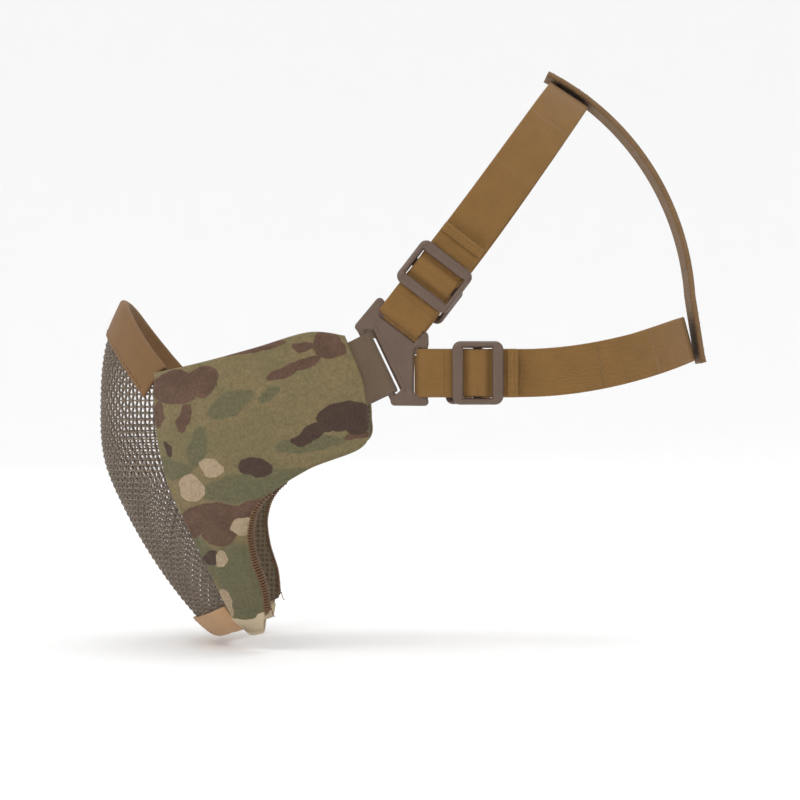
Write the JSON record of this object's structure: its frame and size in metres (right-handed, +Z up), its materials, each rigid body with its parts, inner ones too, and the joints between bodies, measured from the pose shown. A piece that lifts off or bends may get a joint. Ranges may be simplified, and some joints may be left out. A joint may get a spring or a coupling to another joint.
{
  "type": "camo face mask",
  "caption": "Half-face mask with a woven wire front, padded camouflage cheek panels, Y-shaped side buckles and an elastic head harness with sliders.",
  "frame": {"origin": "centre of the wearer's head, between the ears, on the mask's midplane", "axes": "+Z up, the face looks along -Y, +X is the wearer's left"},
  "size_m": [0.166, 0.2509, 0.2326],
  "materials": {
    "wire_mesh": "powder-coated woven steel wire, satin",
    "nose_tape": "smooth folded nylon binding tape",
    "chin_cloth": "plain tan cotton-like cloth strip",
    "camo_cloth": null,
    "foam_pad": "closed-cell foam",
    "lining_cloth": "knitted spacer lining",
    "overlock_thread": "brown overlock stitching",
    "pale_hem": "pale folded hem with zigzag stitches",
    "webbing": "flat woven nylon webbing",
    "acetal": "moulded acetal, semi-matt",
    "elastic": "ribbed woven elastic",
    "back_webbing": "thick padded webbing"
  },
  "bodies": {
    "mask": {"wire_mesh_front": "wire_mesh", "nose_binding": "nose_tape", "chin_binding": "chin_cloth", "left_cheek_cover": "camo_cloth", "left_cheek_pad": "foam_pad", "left_cheek_lining": "lining_cloth", "left_edge_binding": "overlock_thread", "left_chin_hem": "pale_hem", "left_strap_anchor": "webbing", "left_upper_band": "elastic", "left_lower_band": "elastic", "right_cheek_cover": "camo_cloth", "right_cheek_pad": "foam_pad", "right_cheek_lining": "lining_cloth", "right_edge_binding": "overlock_thread", "right_chin_hem": "pale_hem", "right_strap_anchor": "webbing", "right_upper_band": "elastic", "right_lower_band": "elastic"},
    "left_buckle": {"left_buckle": "acetal"},
    "left_upper_strap": {"left_upper_strap_end": "elastic", "left_upper_tail_hem": "elastic"},
    "left_upper_slider": {"left_upper_slider": "acetal"},
    "left_lower_strap": {"left_lower_strap_end": "elastic", "left_lower_tail_hem": "elastic"},
    "left_lower_slider": {"left_lower_slider": "acetal"},
    "right_buckle": {"right_buckle": "acetal"},
    "right_upper_strap": {"right_upper_strap_end": "elastic", "right_upper_tail_hem": "elastic"},
    "right_upper_slider": {"right_upper_slider": "acetal"},
    "right_lower_strap": {"right_lower_strap_end": "elastic", "right_lower_tail_hem": "elastic"},
    "right_lower_slider": {"right_lower_slider": "acetal"},
    "harness": {"back_strap": "back_webbing", "crown_section": "elastic", "nape_section": "elastic"}
  },
  "joints": [
    {"name": "left_buckle_hinge", "type": "hinge", "parent": "mask", "child": "left_buckle", "pos_m": [0.0784, -0.02139, -0.0068], "axis": [0, 0.4305, -0.9026], "range_deg": [-10, 15], "stiffness_Nm_per_rad": 0.15},
    {"name": "left_upper_strap_hinge", "type": "hinge", "parent": "left_buckle", "child": "left_upper_strap", "pos_m": [0.0784, -0.01179, 0.0106], "axis": [0, 0.7934, -0.6088], "range_deg": [-8, 12], "stiffness_Nm_per_rad": 0.06},
    {"name": "left_upper_slider_slide", "type": "slide", "parent": "left_upper_strap", "child": "left_upper_slider", "axis": [0, 0.6088, 0.7934], "range_m": [-0.004, 0.005]},
    {"name": "left_lower_strap_hinge", "type": "hinge", "parent": "left_buckle", "child": "left_lower_strap", "pos_m": [0.0784, -0.00309, -0.0103], "axis": [0, 0, -1], "range_deg": [-8, 12], "stiffness_Nm_per_rad": 0.06},
    {"name": "left_lower_slider_slide", "type": "slide", "parent": "left_lower_strap", "child": "left_lower_slider", "axis": [0, 1, 0], "range_m": [-0.004, 0.0005]},
    {"name": "right_buckle_hinge", "type": "hinge", "parent": "mask", "child": "right_buckle", "pos_m": [-0.0784, -0.02139, -0.0068], "axis": [0, -0.4305, 0.9026], "range_deg": [-10, 15], "stiffness_Nm_per_rad": 0.15},
    {"name": "right_upper_strap_hinge", "type": "hinge", "parent": "right_buckle", "child": "right_upper_strap", "pos_m": [-0.0784, -0.01179, 0.0106], "axis": [0, -0.7934, 0.6088], "range_deg": [-8, 12], "stiffness_Nm_per_rad": 0.06},
    {"name": "right_upper_slider_slide", "type": "slide", "parent": "right_upper_strap", "child": "right_upper_slider", "axis": [0, 0.6088, 0.7934], "range_m": [-0.004, 0.005]},
    {"name": "right_lower_strap_hinge", "type": "hinge", "parent": "right_buckle", "child": "right_lower_strap", "pos_m": [-0.0784, -0.00309, -0.0103], "axis": [0, 0, 1], "range_deg": [-8, 12], "stiffness_Nm_per_rad": 0.06},
    {"name": "right_lower_slider_slide", "type": "slide", "parent": "right_lower_strap", "child": "right_lower_slider", "axis": [0, 1, 0], "range_m": [-0.004, 0.0005]},
    {"name": "harness_stretch", "type": "slide", "parent": "mask", "child": "harness", "axis": [0, 0.866, 0.5], "range_m": [0, 0.025], "stiffness_N_per_m": 300, "deforming": ["left_upper_band", "left_lower_band", "right_upper_band", "right_lower_band"]}
  ]
}
